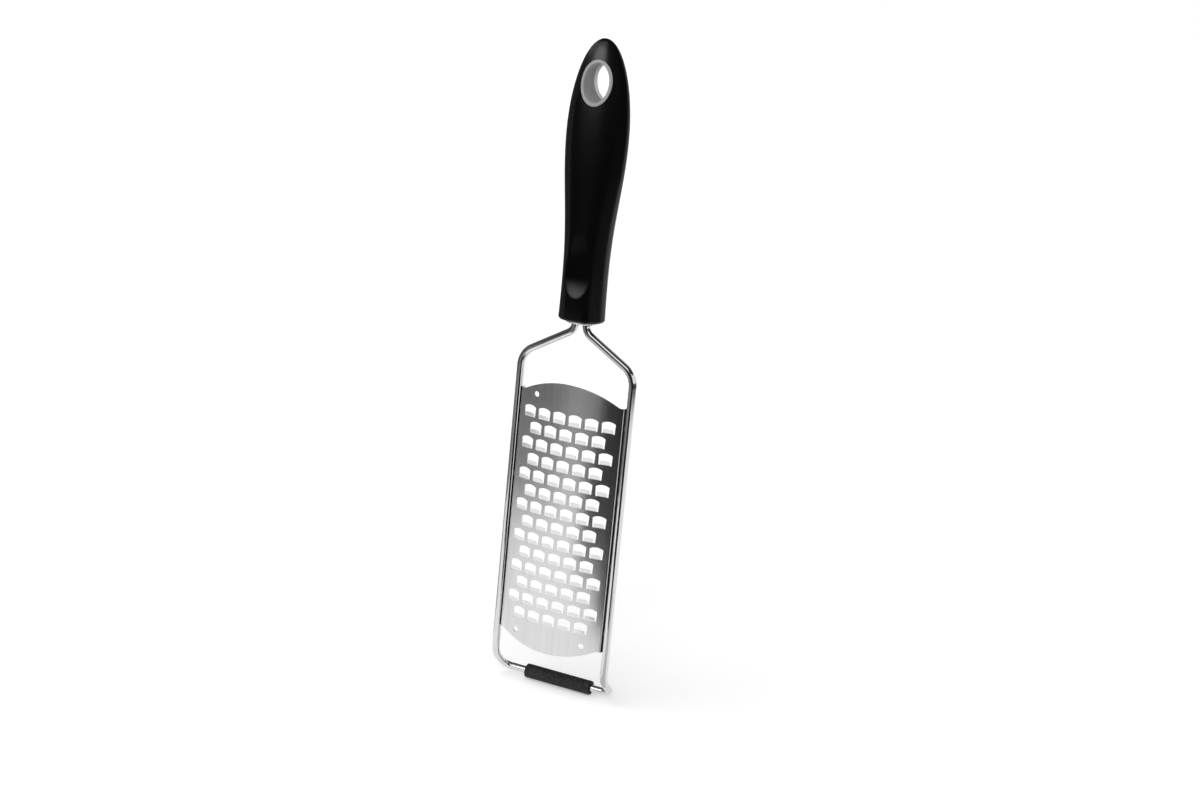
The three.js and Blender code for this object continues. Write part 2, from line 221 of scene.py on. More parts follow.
# %% Finish: weld metal
weld_finish, nodes, sockets = new_finish("weld_metal", Metallic=1.0)
scale_patches = nodes.noise((2600, 2600, 2600), 4)
browned_steel = nodes.colour_between(scale_patches, (0.25, 0.21, 0.17), (0.55, 0.54, 0.53))
nodes.feed(sockets["Base Color"], browned_steel)
nodes.feed(sockets["Roughness"], 0.3 + scale_patches * 0.3)
nodes.feed(sockets["Normal"], nodes.bump(scale_patches, 0.00008, 0.6))
print("made", weld_finish.name)

# %% Finish: black grip
grip_finish, nodes, sockets = new_finish("black_grip", Specular_IOR_Level=0.5)
moulded_grain = nodes.noise((3600, 3600, 3600), 3)
handling_marks = nodes.noise((60, 60, 22), 3)
clean_black, handled_black = (0.0005, 0.0005, 0.0006), (0.0016, 0.0016, 0.0017)
grip_black = nodes.colour_between(handling_marks, clean_black, handled_black)
nodes.feed(sockets["Base Color"], grip_black)
nodes.feed(sockets["Roughness"], 0.18 + moulded_grain * 0.08 + handling_marks * 0.06)
nodes.feed(sockets["Normal"], nodes.bump(moulded_grain, 0.00006, 0.25))
print("made", grip_finish.name)

# %% Finish: grey core
core_finish, nodes, sockets = new_finish("grey_core", Specular_IOR_Level=0.4)
flow_marks = nodes.noise((260, 260, 260), 4)
painted_ledge_light = nodes.add("ShaderNodeAttribute", {"attribute_name": "painted_ledge_light"}, output="Fac")
moulded_grey = nodes.colour_between(flow_marks, (0.27, 0.272, 0.275), (0.36, 0.362, 0.365))
# painted light: the eyelet's back ledge is painted a pale grey, for the light that catches it
grey_and_ledge_light = nodes.colour_between(painted_ledge_light, moulded_grey, (0.82, 0.825, 0.83))
nodes.feed(sockets["Base Color"], grey_and_ledge_light)
nodes.feed(sockets["Roughness"], 0.38 + flow_marks * 0.14)
nodes.feed(sockets["Normal"], nodes.bump(flow_marks, 0.00005, 0.2))
print("made", core_finish.name)

# %% Finish: foot rubber
rubber_finish, nodes, sockets = new_finish("black_rubber", Specular_IOR_Level=0.35)
rubber_mottle = ((nodes.noise((700, 1500, 1500), 4) - 0.36) * 3.5).at_least(0).at_most(1)
rubber_pores = nodes.noise((4200, 4200, 4200), 3)
charcoal = nodes.colour_between(rubber_mottle, (0.004, 0.004, 0.0044), (0.03, 0.03, 0.031))
nodes.feed(sockets["Base Color"], charcoal)
nodes.feed(sockets["Roughness"], 0.55 + rubber_pores * 0.25)
nodes.feed(sockets["Normal"], nodes.bump(rubber_mottle * 0.4 + rubber_pores * 0.6, 0.00015, 0.5))
print("made", rubber_finish.name)

# %% [markdown]
# ## From a bmesh to a piece
#
# Pieces are modelled in millimetres, as on a drawing, and scaled to metres at the end. Each is
# shaded smooth, with its real corners marked sharp, and the CAD nodes it stands for are hidden.

# %% Helpers for pieces
def keep_piece(bm, name, finish, slot, *cad_nodes, sharp=35):
    """Turns a bmesh in millimetres into a finished piece in metres."""
    bmesh.ops.remove_doubles(bm, verts=bm.verts, dist=0.0005)
    for face in bm.faces:
        face.smooth = True
    for edge in bm.edges:
        edge.smooth = edge.calc_face_angle(0) < math.radians(sharp)
    bmesh.ops.scale(bm, vec=(0.001, 0.001, 0.001), verts=bm.verts)
    mesh = bpy.data.meshes.new(name)
    bm.to_mesh(mesh)
    bm.free()
    mesh.materials.append(finish)
    piece = bpy.data.objects.new(name, mesh)
    scene.collection.objects.link(piece)
    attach(piece, "root")
    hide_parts(*cad_nodes)
    triangles = sum(len(polygon.vertices) - 2 for polygon in mesh.polygons)
    print(f"{name}: {triangles} triangles, {[round(1000 * size, 2) for size in piece.dimensions]} mm")


def rounding(before, corner, after, radius):
    """The arc that rounds a corner: its start, centre, axis and angle."""
    inward = (before - corner).normalized()
    onward = (after - corner).normalized()
    half = inward.angle(onward) / 2
    start = corner + inward * (radius / math.tan(half))
    centre = corner + (inward + onward).normalized() * (radius / math.sin(half))
    return start, centre, onward.cross(inward).normalized(), math.pi - 2 * half


def only(kind, items):
    """The vertices, edges or faces among the items that an operator gives back."""
    return [item for item in items if isinstance(item, kind)]


def edges_of(verts):
    """The edges that meet any of the vertices."""
    return list({edge for vert in verts for edge in vert.link_edges})


print("piece helpers ready")

# %% [markdown]
# ## The blade, first as a flat blank
#
# A real blade is cut flat, then formed. The same order is the easiest here: on a flat sheet every
# window is the same outline, and a fill operator makes the faces. An outline is drawn with a
# point that is extruded along straight lines and spun round each rounded corner. A window and its
# tongue are one outline, because the tongue stays joined to the sheet at its root.

# %% Sizes of the blank
crown_radius, crown_half_width = 104.0, 25.7
crown_y = -14.298
fold_angle = math.asin(crown_half_width / crown_radius)
half_arc = crown_radius * fold_angle
fold_radius = 1.06
fold_arc = fold_radius * (math.pi / 2 - fold_angle)
flange_straight = 2.57
blank_half = half_arc + fold_arc + flange_straight
shoulder_half = 56.7
blade_centre_z = 81.93
column_pitch, row_pitch, row_count = 8.09, 7.261, 14
window_low, window_side, window_tip = -2.755, 1.855, 3.804
window_foot_half, window_top_half = 3.05, 3.25
window_foot_round, window_top_round, window_arch = 0.2, 0.3, 6.0
tongue_half, tongue_length = 2.4, 2.6
tongue_side, tongue_tip = window_low + 1.88, window_low + 3.32
tongue_root_round, tongue_top_round, tongue_arch = 0.15, 0.25, 4.4
window = [
    (-window_foot_half, window_low, window_foot_round),
    (-window_top_half, window_side, window_top_round),
    (0, window_tip, window_arch),
    (window_top_half, window_side, window_top_round),
    (window_foot_half, window_low, window_foot_round),
    (tongue_half, window_low, tongue_root_round),
    (tongue_half, tongue_side, tongue_top_round),
    (0, tongue_tip, tongue_arch),
    (-tongue_half, tongue_side, tongue_top_round),
    (-tongue_half, window_low, tongue_root_round),
]
print("blank", round(2 * blank_half, 2), "mm wide before folding")

# %% [markdown]
# Filling the whole sheet at once would ask one fill to sort eighty holes. It is easier and safer
# to fill one row of six windows, one row of five and the two domed ends, and to repeat the rows
# up the sheet.

# %% Draw and fill the blank
def draw_outline(bm, corners):
    """A closed outline in X and Z. Each corner is x, z and the radius that rounds it."""
    places = [Vector((x, 0, z)) for x, z, _ in corners]
    first = tip = None
    for i, (_, _, radius) in enumerate(corners):
        before, after = places[i - 1], places[(i + 1) % len(places)]
        start, centre, axis, angle = rounding(before, places[i], after, radius)
        if first is None:
            first = tip = bm.verts.new(start)
        else:
            tip = bmesh.ops.extrude_vert_indiv(bm, verts=[tip])["verts"][0]
            tip.co = start
        if radius:
            steps = max(3, round(3 * angle * radius ** 0.6))
            spun = bmesh.ops.spin(bm, geom=[tip], cent=centre, axis=axis, angle=angle, steps=steps)
            tip = spun["geom_last"][0]
    bm.edges.new((tip, first))


def fill_new(bm, old_edges):
    """Fills between the outlines drawn since old_edges was noted, and gives what was made."""
    edges = [edge for edge in bm.edges if edge not in old_edges]
    filled = bmesh.ops.triangle_fill(bm, use_beauty=True, edges=edges, normal=(0, -1, 0))
    faces = only(bmesh.types.BMFace, filled["geom"])
    verts = {vert for face in faces for vert in face.verts}
    return [*verts, *edges_of(verts), *faces]


def row_height(number):
    """Height of a row's middle on the blank. Row 0 is the highest."""
    return row_pitch * ((row_count - 1) / 2 - number)


blade = bmesh.new()
for parity, count in ((0, 6), (1, 5)):
    drawn = set(blade.edges)
    half = row_pitch / 2
    draw_outline(blade, [
        (-blank_half, -half, 0), (blank_half, -half, 0),
        (blank_half, half, 0), (-blank_half, half, 0),
    ])
    for column in range(count):
        across = column_pitch * (column - (count - 1) / 2)
        draw_outline(blade, [(x + across, z, radius) for x, z, radius in window])
    row = fill_new(blade, drawn)
    for number in range(parity, row_count, 2):
        copy = bmesh.ops.duplicate(blade, geom=row)["geom"]
        verts = only(bmesh.types.BMVert, copy)
        bmesh.ops.translate(blade, vec=(0, 0, row_height(number)), verts=verts)
    bmesh.ops.delete(blade, geom=only(bmesh.types.BMVert, row), context="VERTS")
print("rows filled:", len(blade.faces), "faces")

# %% Add the domed ends with the index holes
dome_chord, dome_apex, dome_radius = 24.5, 13.47, 50.5
pattern_half = row_pitch * row_count / 2
corner_round = 0.4
index_across, index_height, index_radius = half_arc - 8.7, shoulder_half - 1.2, 1.3
for end, holes in ((1, (-1,)), (-1, (-1, 1))):
    drawn = set(blade.edges)
    draw_outline(blade, [(x, end * z, radius) for x, z, radius in (
        (-blank_half, pattern_half, 0), (blank_half, pattern_half, 0),
        (blank_half, shoulder_half, corner_round), (dome_chord, shoulder_half, corner_round),
        (0, shoulder_half + dome_apex, dome_radius),
        (-dome_chord, shoulder_half, corner_round), (-blank_half, shoulder_half, corner_round),
    )])
    for side in holes:
        middle = Matrix.Translation((side * index_across, 0, end * index_height))
        upright = middle @ Matrix.Rotation(math.pi / 2, 4, "X")
        bmesh.ops.create_circle(blade, segments=28, radius=index_radius, matrix=upright)
    fill_new(blade, drawn)
bmesh.ops.remove_doubles(blade, verts=blade.verts, dist=0.001)
print("blank filled:", len(blade.faces), "faces")

# %% [markdown]
# ## The blade, sliced
#
# Long triangles would stay flat when the sheet is rolled, so the sheet is sliced into narrow
# upright strips, close together where the edge folds. A few level slices near each tongue's root
# give the tongue something to bend over.

# %% Slice the blank
def slice_blank(place, across):
    everything = [*blade.verts, *blade.edges, *blade.faces]
    bmesh.ops.bisect_plane(blade, geom=everything, dist=1e-5, plane_co=place, plane_no=across)


crown_slices = [column_pitch / 6 * i for i in range(-19, 20)]
fold_slices = [side * (half_arc + fold_arc * i / 5) for side in (-1, 1) for i in range(6)]
root_slices = (0.02, 0.3, 0.6, 0.9)
for across in crown_slices + fold_slices:
    slice_blank((across, 0, 0), (1, 0, 0))
for number in range(row_count):
    root = row_height(number) + window_low
    for up in root_slices:
        slice_blank((0, 0, root + up), (0, 0, 1))
print("blank sliced:", len(blade.verts), "points")

# %% [markdown]
# ## The blade, formed
#
# Forming moves each point of the blank once. A point's distance from the middle says where it
# lies on the rolled section: on the crown, in the fold or on the flange. A point on a tongue is
# first swung forward about the tongue's root. The sheet then gets its thickness, and the tongues
# thin to a cutting edge from behind.

# %% Form the blade
def rolled(across):
    """The place on the blade's section, and its facing, at a distance from the blank's middle."""
    side, along = math.copysign(1, across), abs(across)
    folded = min(max(along - half_arc, 0), fold_arc) / fold_radius
    turn = min(along, half_arc) / crown_radius
    x = crown_radius * math.sin(turn) + fold_radius * (math.sin(turn + folded) - math.sin(turn))
    fold_back = fold_radius * (math.cos(turn) - math.cos(turn + folded))
    y = crown_y + crown_radius * (1 - math.cos(turn)) + fold_back
    y += max(along - half_arc - fold_arc, 0)
    facing = Vector((side * math.sin(turn + folded), -math.cos(turn + folded), 0))
    return Vector((side * x, y, 0)), facing


def tongue_reach(across, height):
    """How far up its tongue a point of the blank lies, or 0 off the tongues."""
    row = min(max(round((row_count - 1) / 2 - height / row_pitch), 0), row_count - 1)
    up = height - row_height(row) - window_low
    middle = (5 - row % 2) / 2
    off = (across / column_pitch + middle + 0.5) % 1 - 0.5
    on_row = abs(across) < (middle + 0.5) * column_pitch
    on_tongue = abs(off) * column_pitch < tongue_half + 0.01
    return up if on_row and on_tongue and 0 < up < tongue_length + 0.05 else 0


tongue_angle, bend_length = math.radians(27), 0.9
bend_radius = bend_length / tongue_angle
gap_shade_start, gap_shade_spread = 0.45, 0.15
ground = blade.verts.layers.float.new("ground_edge")
gap_shade_layer = blade.verts.layers.float.new("painted_gap_shade")
thinning = blade.verts.layers.float.new("thinning")
for vert in blade.verts:
    across, height = vert.co.x, vert.co.z
    reach = tongue_reach(across, height)
    bent = min(reach, bend_length)
    turn = bent / bend_radius
    forward = bend_radius * (1 - math.cos(turn)) + (reach - bent) * math.sin(turn)
    upward = bend_radius * math.sin(turn) + (reach - bent) * math.cos(turn)
    place, facing = rolled(across)
    vert[ground] = min(reach / bend_length, 1)
    folded = (abs(across) - half_arc) / fold_arc
    # painted shade: the outer part of each fold, beside the rail, is marked to be painted near black
    vert[gap_shade_layer] = min(max(folded - gap_shade_start, 0) / gap_shade_spread, 1)
    vert[thinning] = min(reach / tongue_length, 1)
    vert.co = place + facing * forward + Vector((0, 0, blade_centre_z + height + upward - reach))
bmesh.ops.recalc_face_normals(blade, faces=blade.faces)
if min(blade.faces, key=lambda face: face.calc_center_median().y).normal.y > 0:
    bmesh.ops.reverse_faces(blade, faces=blade.faces)
print("formed: front at", round(min(vert.co.y for vert in blade.verts), 2), "mm")

# %% Give the blade its thickness
blade_thickness, edge_thickness = 0.5, 0.06
number = blade.verts.layers.int.new("front_number")
front = list(blade.verts)
front_places = [vert.co.copy() for vert in front]
for i, vert in enumerate(front):
    vert[number] = i
front_set = set(front)
bmesh.ops.solidify(blade, geom=blade.faces[:], thickness=blade_thickness)
for vert in blade.verts:
    if vert not in front_set:
        share = 1 + (edge_thickness / blade_thickness - 1) * vert[thinning]
        vert.co = front_places[vert[number]].lerp(vert.co, share)
        # the back of the flange gets no painted shade
        vert[gap_shade_layer] = 0
blade.verts.layers.int.remove(number)
blade.verts.layers.float.remove(blade.verts.layers.float["thinning"])
keep_piece(blade, "toothed_blade", blade_finish, "brushed_blade", "blade", sharp=40)

# %% [markdown]
# ## The bent wire
#
# The frame is one length of round wire. A ring the size of the wire is pushed along each straight
# run and spun about the centre of each bend, as a bending machine does it. A curve with a round
# bevel would be quicker, but here each bend is a true arc of its own radius. The path starts and
# ends in the handle.

# %% Helpers for pushing a ring along
def next_ring(bm, ring):
    """Extrudes a ring of edges and gives the new ring's edges and vertices."""
    made = bmesh.ops.extrude_edge_only(bm, edges=ring)["geom"]
    verts = only(bmesh.types.BMVert, made)
    fresh = set(verts)
    edges = [edge for edge in only(bmesh.types.BMEdge, made) if fresh.issuperset(edge.verts)]
    return edges, verts


def close_ends(bm):
    """Caps the first and last ring, and turns every face outward."""
    bmesh.ops.holes_fill(bm, edges=bm.edges, sides=0)
    bmesh.ops.recalc_face_normals(bm, faces=bm.faces)


print("ring helpers ready")

# %% Bend the wire
wire_radius = 1.75
rail_x, rail_y = 28.55, -9.475
tang_x, tang_top = 2.6, 239.98
neck_z, shoulder_z, kick_z, bar_z = 169.21, 154.23, 11.63, 3.1
neck_bend, shoulder_bend, kick_bend, foot_bend = 6.0, 10.0, 7.7, 4.8


def wire_corners(side):
    """The centre line's corners on one side, from the tang's tip to the foot, with bend radii."""
    return [
        (Vector((side * tang_x, rail_y, tang_top)), 0),
        (Vector((side * tang_x, rail_y, neck_z)), neck_bend),
        (Vector((side * rail_x, rail_y, shoulder_z)), shoulder_bend),
        (Vector((side * rail_x, rail_y, kick_z)), kick_bend),
        (Vector((side * rail_x, 0, bar_z)), foot_bend),
    ]


route = wire_corners(-1) + wire_corners(1)[::-1]
wire = bmesh.new()
place = route[0][0]
at_tip = Matrix.Translation(place)
bmesh.ops.create_circle(wire, segments=32, radius=wire_radius, matrix=at_tip)
ring = wire.edges[:]
for i in range(1, len(route) - 1):
    corner, radius = route[i]
    start, centre, axis, angle = rounding(route[i - 1][0], corner, route[i + 1][0], radius)
    ring, verts = next_ring(wire, ring)
    bmesh.ops.translate(wire, vec=start - place, verts=verts)
    steps = max(8, round(angle * 12))
    swept = bmesh.ops.spin(wire, geom=ring, cent=centre, axis=axis, angle=angle, steps=steps)
    ring = only(bmesh.types.BMEdge, swept["geom_last"])
    place = Matrix.Rotation(angle, 3, axis) @ (start - centre) + centre
ring, verts = next_ring(wire, ring)
bmesh.ops.translate(wire, vec=route[-1][0] - place, verts=verts)
close_ends(wire)
keep_piece(wire, "bent_wire", wire_finish, "polished_wire", "wire_frame")

# %% [markdown]
# ## The handle's form
#
# The grip swells from a narrow waist to a belly and closes in a rounded nose. Each section is a
# slightly squared oval. Width, depth and centre at each height are given by three small
# functions, which the grip, the core and the eyelet's rim share. A box could be subdivided and
# pulled to this form by eye, but a loft, a ring that is extruded from section to section, keeps
# every width where it was measured.

# %% Sections of the handle
handle_z, handle_length = 173.98, 124.2
waist_height, belly_height, nose_height = 18.0, 83.0, 55.0
grip_half_depth, handle_lean = 8.9, math.radians(0.9)
fullness = 2.25


def half_width(height):
    end, waist, belly = 10.5, 10.15, 14.7
    if height < waist_height:
        return waist + (end - waist) * (1 - height / waist_height) ** 2
    if height > belly_height:
        toward_tip = (height - belly_height) / (handle_length - belly_height)
        return belly * math.sqrt(max(1 - toward_tip ** 2, 0))
    share = (height - waist_height) / (belly_height - waist_height)
    return waist + (belly - waist) * (1 - math.cos(math.pi * share ** 1.15)) / 2


def half_depth(height):
    toward_tip = max((height - nose_height) / (handle_length - nose_height), 0)
    return grip_half_depth * math.sqrt(max(1 - toward_tip ** 2, 0))


def centre_line(height):
    return rail_y - max(height, 0) * math.tan(handle_lean)


def skin_y(x, height, side):
    """Y of the handle's skin at a place across it. Side is -1 in front and 1 behind."""
    share = min(abs(x) / half_width(height), 1)
    return centre_line(height) + side * half_depth(height) * (1 - share ** fullness) ** (1 / fullness)


def loft(sections, around):
    """A closed form through sections given as height and inset, from pole to pole."""
    bm = bmesh.new()
    verts = bmesh.ops.create_circle(bm, segments=around, radius=1)["verts"]
    for vert in verts:
        for axis in (0, 1):
            vert.co[axis] = math.copysign(abs(vert.co[axis]) ** (2 / fullness), vert.co[axis])
    ring = edges_of(verts)
    was = (1, 1, 0, 0)
    for i, (height, inset) in enumerate(sections):
        if i:
            ring, verts = next_ring(bm, ring)
        level = max(height, 0)
        now = (
            max(half_width(level) - inset, 0.25), max(half_depth(level) - inset, 0.2),
            centre_line(height), handle_z + height,
        )
        space = Matrix.Translation((0, -was[2], 0))
        bmesh.ops.scale(bm, vec=(now[0] / was[0], now[1] / was[1], 1), space=space, verts=verts)
        bmesh.ops.translate(bm, vec=(0, now[2] - was[2], now[3] - was[3]), verts=verts)
        was = now
    close_ends(bm)
    return bm


print("handle is", round(2 * half_width(belly_height), 1), "mm wide at its belly")

# %% [markdown]
# ## Cutting one shape from another
#
# The eyelet goes through the finished form, and so do the sockets for the wire. A Boolean
# modifier does that best, because the hole's edge then lies exactly on the curved skin. It is
# applied at once, so no cutter stays in the scene.

# %% Helper for cutting and joining
def combine(bm, other, operation):
    """Cuts other from bm, or joins it to bm, and gives the new bmesh. Both are used up."""
    objects = []
    for shape in (bm, other):
        mesh = bpy.data.meshes.new("shape")
        shape.to_mesh(mesh)
        shape.free()
        objects.append(bpy.data.objects.new("shape", mesh))
        scene.collection.objects.link(objects[-1])
    modifier = objects[0].modifiers.new("combine", "BOOLEAN")
    modifier.operation, modifier.object, modifier.solver = operation, objects[1], "EXACT"
    combined = objects[0].evaluated_get(bpy.context.evaluated_depsgraph_get())
    done = bpy.data.meshes.new_from_object(combined)
    result = bmesh.new()
    result.from_mesh(done)
    for item in objects:
        old = item.data
        bpy.data.objects.remove(item)
        bpy.data.meshes.remove(old)
    bpy.data.meshes.remove(done)
    return result


def oval_bar(half_across, half_up, centre_x, centre_z, front, back, around):
    """An oval bar along Y."""
    bm = bmesh.new()
    turned = Matrix.Translation((centre_x, front, centre_z)) @ Matrix.Rotation(math.pi / 2, 4, "X")
    verts = bmesh.ops.create_circle(bm, segments=around, radius=1, matrix=turned)["verts"]
    space = Matrix.Translation((-centre_x, 0, -centre_z))
    bmesh.ops.scale(bm, vec=(half_across, 1, half_up), space=space, verts=verts)
    ring, verts = next_ring(bm, bm.edges[:])
    bmesh.ops.translate(bm, vec=(0, back - front, 0), verts=verts)
    close_ends(bm)
    return bm


def post(radius, x, low, high):
    """A round post along Z on the line of the wire's tangs."""
    bm = bmesh.new()
    at_foot = Matrix.Translation((x, rail_y, low))
    bmesh.ops.create_circle(bm, segments=32, radius=radius, matrix=at_foot)
    ring, verts = next_ring(bm, bm.edges[:])
    bmesh.ops.translate(bm, vec=(0, 0, high - low), verts=verts)
    close_ends(bm)
    return bm


print("cutting helpers ready")

# %% [markdown]
# ## The grip
#
# The grip is a shell. Its loft runs down the inside, round the lower lip and up the outside to
# the nose. The thumb scoop lies a little right of the middle. It is a ramp that is steepest at
# its foot, and a long, gentle one above. A Boolean would leave it a hard edge, and the mesh is
# fine enough for its points to be pushed back onto the ramps. A soft limit in place of a sharp
# one rounds the valley between them and the scoop's edge.

# %% Loft the grip
grip_wall, end_round = 2.3, 1.2
inside_heights = (117.2, 116, 113, 108, 102, 95, 83, 70, 58, 45, 32, 18, 9, 1)
inside = [(height, grip_wall) for height in inside_heights]
lip = [(0.4, grip_wall), (0.1, grip_wall - 0.1), (0, grip_wall - 0.4)]
for turn in (0.0, 0.3, 0.6, 0.9, 1.2, 1.5):
    lip.append((end_round * (1 - math.cos(turn)), end_round * (1 - math.sin(turn))))
outside = [(1.3 + 0.5 * i, 0) for i in range(180)]
nose_start = outside[-1][0]
nose_length = handle_length - nose_start
nose_turns = [math.radians(1.8 * i) for i in range(1, 50)]
nose = [(nose_start + nose_length * math.sin(turn), 0) for turn in nose_turns]
grip = loft(inside + lip + outside + nose, 128)
print("grip loft:", len(grip.faces), "faces")

# %% Press in the thumb scoop
scoop_foot, scoop_height, scoop_top = 10.7, 19.6, 41.0
scoop_depth, scoop_round, scoop_span, scoop_middle = 2.05, 4.2, 14.5, 0.4
foot_steepness = 1.36
valley_softness, edge_softness = 0.35, 0.15
press_limit = 60


def soft_greater(first, second, softness):
    return (first + second + math.sqrt((first - second) ** 2 + softness ** 2)) / 2


def scoop_at(x, height):
    """Y of the scoop's floor."""
    share = (height - scoop_foot) / (scoop_height - scoop_foot)
    ramp_up = scoop_depth * share * (foot_steepness + (1 - foot_steepness) * share)
    ramp_back = scoop_depth * (scoop_top - height) / (scoop_top - scoop_height)
    depth = -soft_greater(-ramp_up, -ramp_back, valley_softness)
    off = (x - scoop_middle) / scoop_span
    across = scoop_round * (1 - math.sqrt(max(1 - off ** 2, 0)))
    return skin_y(0, height, -1) + depth - across


for vert in grip.verts:
    height = vert.co.z - handle_z
    if end_round < height < press_limit and vert.co.y < skin_y(vert.co.x, height, -1) + 1:
        vert.co.y = soft_greater(vert.co.y, scoop_at(vert.co.x, height), edge_softness)
print("scoop pressed in, deepest", scoop_depth, "mm")

# %% Cut the eyelet through the grip
eyelet_below_tip = 19.1
eyelet_z = handle_z + handle_length - eyelet_below_tip
eyelet_half_width, eyelet_half_height = 7.65, 10.1
in_front, behind = -40, 20
seam = 0.12


def eyelet_bar(grow):
    """A bar right through the handle at the eyelet, larger than it or smaller."""
    half_across, half_up = eyelet_half_width + grow, eyelet_half_height + grow
    return oval_bar(half_across, half_up, 0, eyelet_z, in_front, behind, 96)


grip = combine(grip, eyelet_bar(seam), "DIFFERENCE")
keep_piece(grip, "soft_grip", grip_finish, "black_grip", "grip")

# %% [markdown]
# ## The core and its eyelet
#
# The grey core fills the grip, and comes to the surface as the eyelet's rim. A plain tube would
# end flat, but the rim's lips follow the handle's skin, so each ring of the rim is laid on the
# skin and set in by a given depth. A thin ledge at the back is painted pale, as painted light for
# the light that catches it, and an attribute marks its points. The rim is joined to the core's
# body, which has two sockets for the tangs.

# %% Make the eyelet's rim
def bridge_rings(bm, rings):
    """Joins each ring of edges to the next and the last to the first, with every face outward."""
    for first, second in zip(rings, rings[1:] + rings[:1]):
        bmesh.ops.bridge_loops(bm, edges=first + second)
    bmesh.ops.recalc_face_normals(bm, faces=bm.faces)


def lay_ring(verts, grow, depth, side):
    """Puts a ring of the rim around the eyelet, at a depth below the front or back skin."""
    for i, vert in enumerate(verts):
        angle = 2 * math.pi * i / len(verts)
        x = (eyelet_half_width + grow) * math.cos(angle)
        z = eyelet_z + (eyelet_half_height + grow) * math.sin(angle)
        vert.co = (x, skin_y(x, z - handle_z, side) - side * depth, z)


front_lip = [(0, 3.0), (0, 0.25), (-0.06, 0.08), (-0.2, 0), (-1.3, 0), (-1.44, 0.06), (-1.5, 0.2)]
ledge = [(-1.2, 0.895), (-2.1, 0.8), (-2.21, 0.72), (-2.25, 0.6)]
back_lip = [
    (-1.15, 0.9), *ledge, (-2.25, 0.2), (-2.17, 0.06), (-2, 0),
    (-0.2, 0), (-0.06, 0.08), (0, 0.25), (0, 3.0),
]
rim = bmesh.new()
ledge_light = rim.verts.layers.float.new("painted_ledge_light")
rings = []
for side, profile in ((-1, front_lip), (1, back_lip)):
    for grow, depth in profile:
        verts = bmesh.ops.create_circle(rim, segments=96, radius=1)["verts"]
        lay_ring(verts, grow, depth, side)
        for vert in verts:
            # painted light: the back ledge's points are marked to be painted pale
            vert[ledge_light] = (grow, depth) in ledge
        rings.append(edges_of(verts))
bridge_rings(rim, rings)
print("eyelet rim:", len(rim.faces), "faces")

# %% Make the core
core_inset = grip_wall + 0.3
core_heights = (3.2, 10, 18, 30, 42, 54, 66, 76, 84, 92, 98, 104, 109, 113, 116, 116.9)
rim_overlap, socket_gap = 0.7, 0.3
core = loft([(height, core_inset) for height in core_heights], 64)
core = combine(core, eyelet_bar(-rim_overlap), "DIFFERENCE")
core = combine(rim, core, "UNION")
for side in (-1, 1):
    socket = post(wire_radius + socket_gap, side * tang_x, handle_z, tang_top + socket_gap)
    core = combine(core, socket, "DIFFERENCE")
keep_piece(core, "eyelet_core", core_finish, "grey_core", "handle_core")

# %% [markdown]
# ## The end plug
#
# A bright oval plug closes the grip's lower end and is pierced for the two tangs. Only its
# rounded lip shows, as a thin bright crescent, so an oval bar with a bevelled rim is enough.

# %% Make the end plug
plug_low, plug_height = 172.68, 4.2
plug_half_width, plug_half_depth, plug_round = 7.55, 6.3, 1.2
plug_gap = 0.15
plug = oval_bar(plug_half_width, plug_half_depth, 0, 0, 0, plug_height, 72)
upright = Matrix.Rotation(math.pi / 2, 3, "X")
bmesh.ops.rotate(plug, cent=(0, 0, 0), matrix=upright, verts=plug.verts)
bmesh.ops.translate(plug, vec=(0, rail_y, plug_low), verts=plug.verts)
rims = [edge for edge in plug.edges if abs(edge.verts[0].co.z - edge.verts[1].co.z) < 0.01]
bmesh.ops.bevel(
    plug, geom=rims, offset=plug_round, offset_type="OFFSET", affect="EDGES",
    segments=6, profile=0.5, material=-1,
)
bmesh.ops.recalc_face_normals(plug, faces=plug.faces)
for side in (-1, 1):
    bore = post(wire_radius + plug_gap, side * tang_x, plug_low - 2, plug_low + 6)
    plug = combine(plug, bore, "DIFFERENCE")
keep_piece(plug, "steel_plug", wire_finish, "polished_wire", "end_plug")

# %% [markdown]
# ## The foot sleeve
#
# A short rubber tube on the foot bar, a little flat underneath where it stands. A bored cylinder
# would have sharp ends, so rings along the bar make its profile: out from the wire, round the
# end, along the outside, round the other end and back along the bore.

# %% Make the foot sleeve
sleeve_length, sleeve_radius, sleeve_middle, sleeve_bore = 33.8, 3.25, 0.95, 1.85
half = sleeve_length / 2
end_profile = [
    (0.3, sleeve_bore), (0.08, 1.95), (0, 2.2), (0, 3.05),
    (0.03, 3.15), (0.1, 3.22), (0.25, sleeve_radius),
]
profile = [(-half + inset, radius) for inset, radius in end_profile]
profile += [(-half + sleeve_length * i / 12, sleeve_radius) for i in range(1, 12)]
profile += [(half - inset, radius) for inset, radius in end_profile[::-1]]
sleeve = bmesh.new()
rings = []
for along, radius in profile:
    middle = Matrix.Translation((sleeve_middle + along, 0, bar_z))
    turned = middle @ Matrix.Rotation(math.pi / 2, 4, "Y")
    verts = bmesh.ops.create_circle(sleeve, segments=48, radius=radius, matrix=turned)["verts"]
    for vert in verts:
        vert.co.z = max(vert.co.z, 0)
    rings.append(edges_of(verts))
bridge_rings(sleeve, rings)
keep_piece(sleeve, "rubber_sleeve", rubber_finish, "black_rubber", "foot_sleeve")

# %% [markdown]
# ## The welds
#
# Four spot welds on each side join the flanges to the rails. A weld is a small flattened bead
# that bites a little into both, so a sphere is squeezed to a lens and set in the gap.

